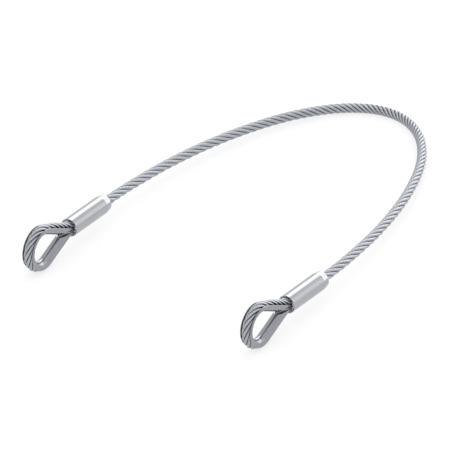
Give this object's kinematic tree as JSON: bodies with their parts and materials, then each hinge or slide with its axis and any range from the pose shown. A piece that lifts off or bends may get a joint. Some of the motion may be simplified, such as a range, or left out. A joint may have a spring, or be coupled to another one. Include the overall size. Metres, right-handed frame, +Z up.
{
  "type": "wire rope sling",
  "caption": "Steel wire rope sling lying in a U bend, with a pressed ferrule and a thimble eye at each end.",
  "frame": {"origin": "on the floor, under the middle of the box round the two eyes and their ferrules; the free rope is left out of that box", "axes": "+X from the left eye to the right eye, +Y from the eyes towards the rope's bend, +Z up"},
  "size_m": [0.291, 0.4632, 0.0512],
  "materials": {
    "rope_wire": "bright drawn wire, satin",
    "core_wire": "satin",
    "thimble": "satin, galvanised",
    "ferrule": "smooth pressed"
  },
  "bodies": {
    "root": {"rope_span": "rope_wire", "left_eye_rope": "rope_wire", "left_eye_core": "core_wire", "left_thimble": "thimble", "left_ferrule": "ferrule", "right_eye_rope": "rope_wire", "right_eye_core": "core_wire", "right_thimble": "thimble", "right_ferrule": "ferrule"}
  },
  "joints": []
}
